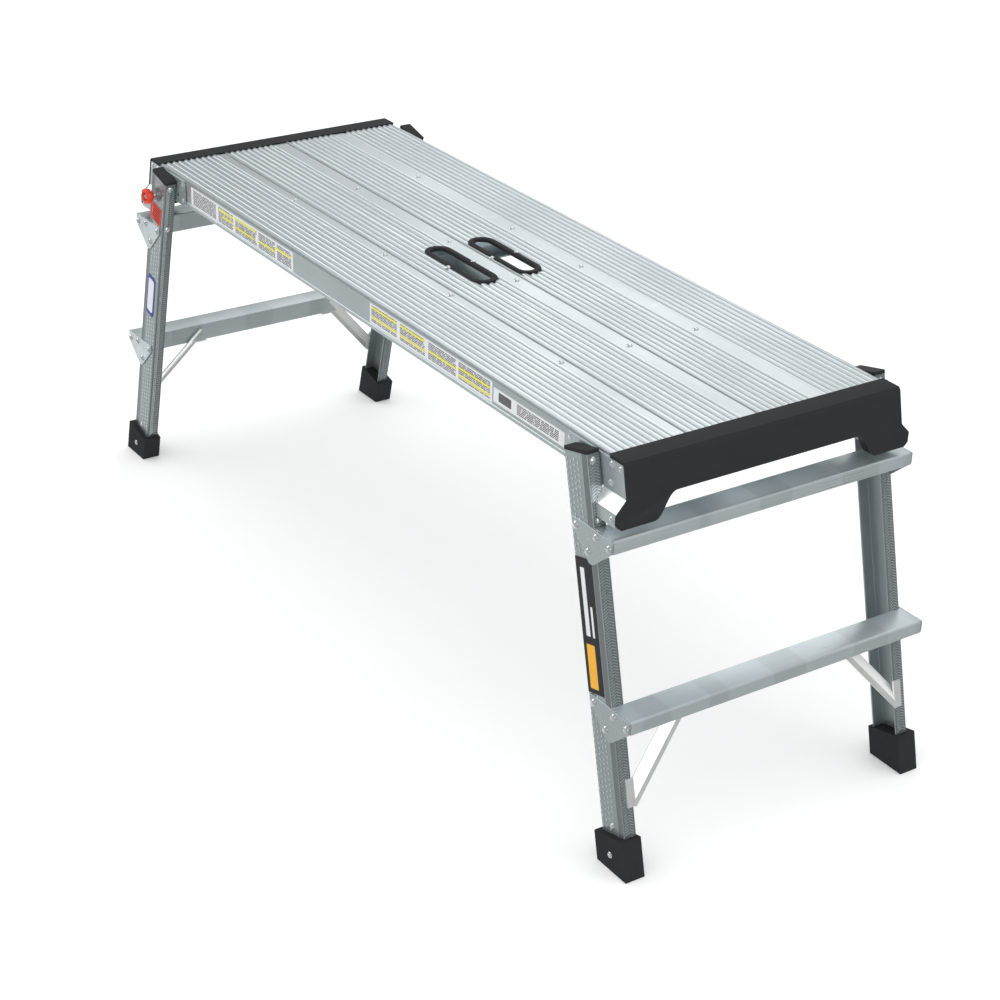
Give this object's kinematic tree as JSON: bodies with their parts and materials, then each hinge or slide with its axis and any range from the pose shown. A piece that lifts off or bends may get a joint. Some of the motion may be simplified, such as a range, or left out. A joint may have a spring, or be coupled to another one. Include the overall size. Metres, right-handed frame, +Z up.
{
  "type": "work platform bench",
  "caption": "Folding aluminium work platform: ribbed deck with hand holes and end caps, on two splayed leg frames with steps, braces, rubber feet and spring locks",
  "frame": {"origin": "on the floor under the middle of the deck", "axes": "+X along the deck towards the near leg frame, +Y across the deck, +Z up"},
  "size_m": [1.3656, 0.49, 0.5102],
  "materials": {
    "deck_aluminium": "mill finish, ribbed",
    "beam_aluminium": "mill finish",
    "bracket_aluminium": "mill finish",
    "leg_aluminium": "mill finish, dimpled web",
    "step_aluminium": "brushed",
    "plate_aluminium": "mill finish",
    "rivet_steel": "zinc plated",
    "lock_steel": "zinc plated",
    "black_plastic": "fine texture",
    "knob_plastic": "satin",
    "boot_rubber": "matt"
  },
  "bodies": {
    "deck": {"bracket_far_left": "bracket_aluminium", "bracket_far_right": "bracket_aluminium", "bracket_near_left": "bracket_aluminium", "bracket_near_right": "bracket_aluminium", "bracket_rivets": "rivet_steel", "cross_member_1": "beam_aluminium", "cross_member_2": "beam_aluminium", "cross_member_3": "beam_aluminium", "cross_member_4": "beam_aluminium", "deck_plank_left_inner": "deck_aluminium", "deck_plank_left_outer": "deck_aluminium", "deck_plank_right_inner": "deck_aluminium", "deck_plank_right_outer": "deck_aluminium", "deck_rivets": "rivet_steel", "end_cap_far": "black_plastic", "end_cap_near": "black_plastic", "grommet_rivets": "rivet_steel", "hand_grommet_left": "black_plastic", "hand_grommet_right": "black_plastic", "pivot_pins": "rivet_steel"},
    "far_frame": {"far_boot_left": "boot_rubber", "far_boot_right": "boot_rubber", "far_brace_left": "plate_aluminium", "far_brace_right": "plate_aluminium", "far_gussets_lower": "plate_aluminium", "far_gussets_upper": "plate_aluminium", "far_hinge_insert_left": "black_plastic", "far_hinge_insert_right": "black_plastic", "far_leg_cap_left": "black_plastic", "far_leg_cap_right": "black_plastic", "far_leg_left": "leg_aluminium", "far_leg_right": "leg_aluminium", "far_lock_housing": "lock_steel", "far_lock_spring": "lock_steel", "far_rivets": "rivet_steel", "far_step_lower": "step_aluminium", "far_step_upper": "step_aluminium"},
    "far_lock": {"far_lock_knob": "knob_plastic", "far_lock_pin": "lock_steel"},
    "near_frame": {"near_boot_left": "boot_rubber", "near_boot_right": "boot_rubber", "near_brace_left": "plate_aluminium", "near_brace_right": "plate_aluminium", "near_gussets_lower": "plate_aluminium", "near_gussets_upper": "plate_aluminium", "near_hinge_insert_left": "black_plastic", "near_hinge_insert_right": "black_plastic", "near_leg_cap_left": "black_plastic", "near_leg_cap_right": "black_plastic", "near_leg_left": "leg_aluminium", "near_leg_right": "leg_aluminium", "near_lock_housing": "lock_steel", "near_lock_spring": "lock_steel", "near_rivets": "rivet_steel", "near_step_lower": "step_aluminium", "near_step_upper": "step_aluminium"},
    "near_lock": {"near_lock_knob": "knob_plastic", "near_lock_pin": "lock_steel"}
  },
  "joints": [
    {"name": "near_fold", "type": "hinge", "parent": "deck", "child": "near_frame", "pos_m": [0.52754, 0, 0.48794], "axis": [0, 1, 0], "range_deg": [0, 103.6]},
    {"name": "near_lock_slide", "type": "slide", "parent": "near_frame", "child": "near_lock", "axis": [0, 1, 0], "range_m": [-0.0045, 0.006], "stiffness_N_per_m": 300},
    {"name": "far_fold", "type": "hinge", "parent": "deck", "child": "far_frame", "pos_m": [-0.52754, 0, 0.48794], "axis": [0, -1, 0], "range_deg": [0, 103.6]},
    {"name": "far_lock_slide", "type": "slide", "parent": "far_frame", "child": "far_lock", "axis": [0, -1, 0], "range_m": [-0.0045, 0.006], "stiffness_N_per_m": 300}
  ]
}
